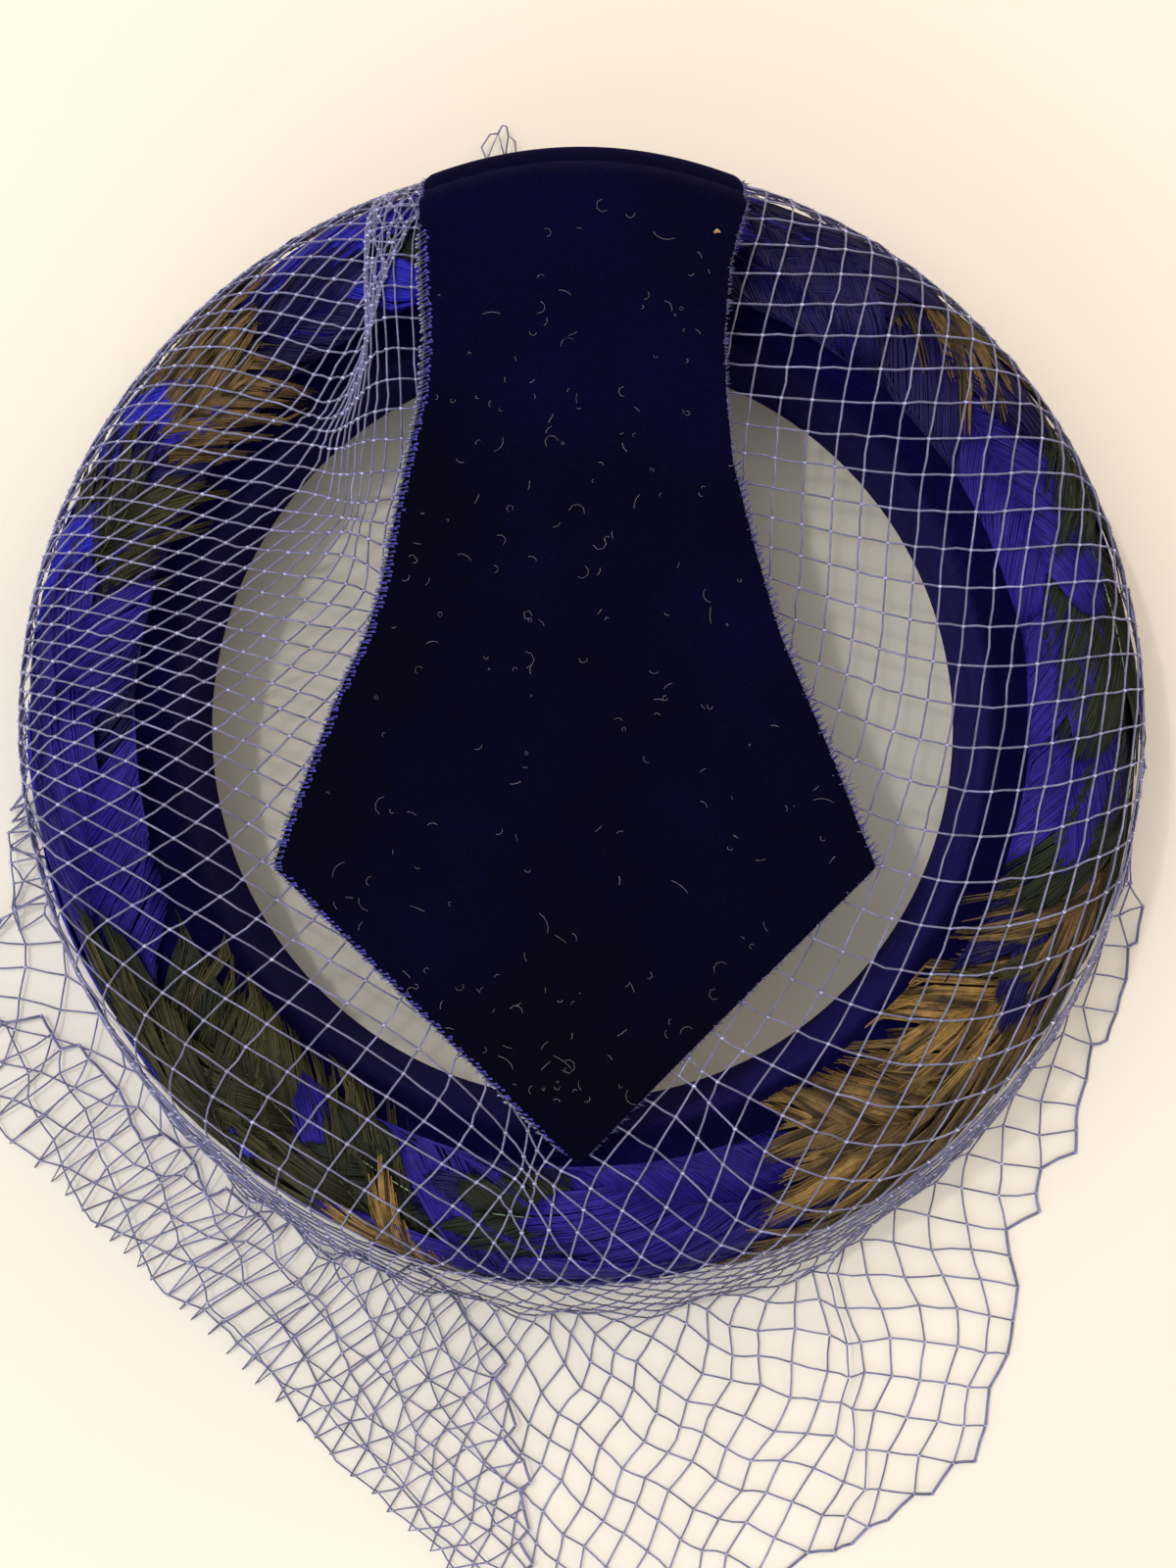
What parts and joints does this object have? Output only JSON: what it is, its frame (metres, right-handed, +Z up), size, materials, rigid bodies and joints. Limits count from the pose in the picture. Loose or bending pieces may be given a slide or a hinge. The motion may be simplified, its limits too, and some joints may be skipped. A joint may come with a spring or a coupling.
{
  "type": "cocktail hat",
  "caption": "Open-crown cocktail hat: a hollow velvet ring wrapped in curved feathers, with a pointed velvet tab folded over its back and an open net veil.",
  "frame": {"origin": "centre of the whole hat's bounding box at its base, on the surface that it lies on", "axes": "+Z up out of the open crown, +Y towards the back of the hat, where the tab is folded over, -Y towards the front of the veil"},
  "size_m": [0.2222, 0.2762, 0.0599],
  "materials": {
    "ring_velvet": "navy velvet with a soft sheen",
    "tab_velvet": "near-black navy velvet, worn at the edges",
    "net": "fine periwinkle thread, matt",
    "feather_blue": "royal blue dyed feather, silky",
    "feather_brown": "brown and gold natural feather with dark bars",
    "feather_olive": "dark olive natural feather",
    "feather_navy": "dark navy dyed feather"
  },
  "bodies": {
    "root": {"velvet_ring": "ring_velvet", "velvet_tab": "tab_velvet", "veil": "net", "feather_01": "feather_brown", "feather_02": "feather_brown", "feather_03": "feather_blue", "feather_04": "feather_olive", "feather_05": "feather_brown", "feather_06": "feather_brown", "feather_07": "feather_brown", "feather_08": "feather_navy", "feather_09": "feather_blue", "feather_10": "feather_blue", "feather_11": "feather_olive", "feather_12": "feather_olive", "feather_13": "feather_blue", "feather_14": "feather_blue", "feather_15": "feather_blue", "feather_16": "feather_olive", "feather_17": "feather_brown", "feather_18": "feather_blue", "feather_19": "feather_blue", "feather_20": "feather_navy"}
  },
  "joints": []
}
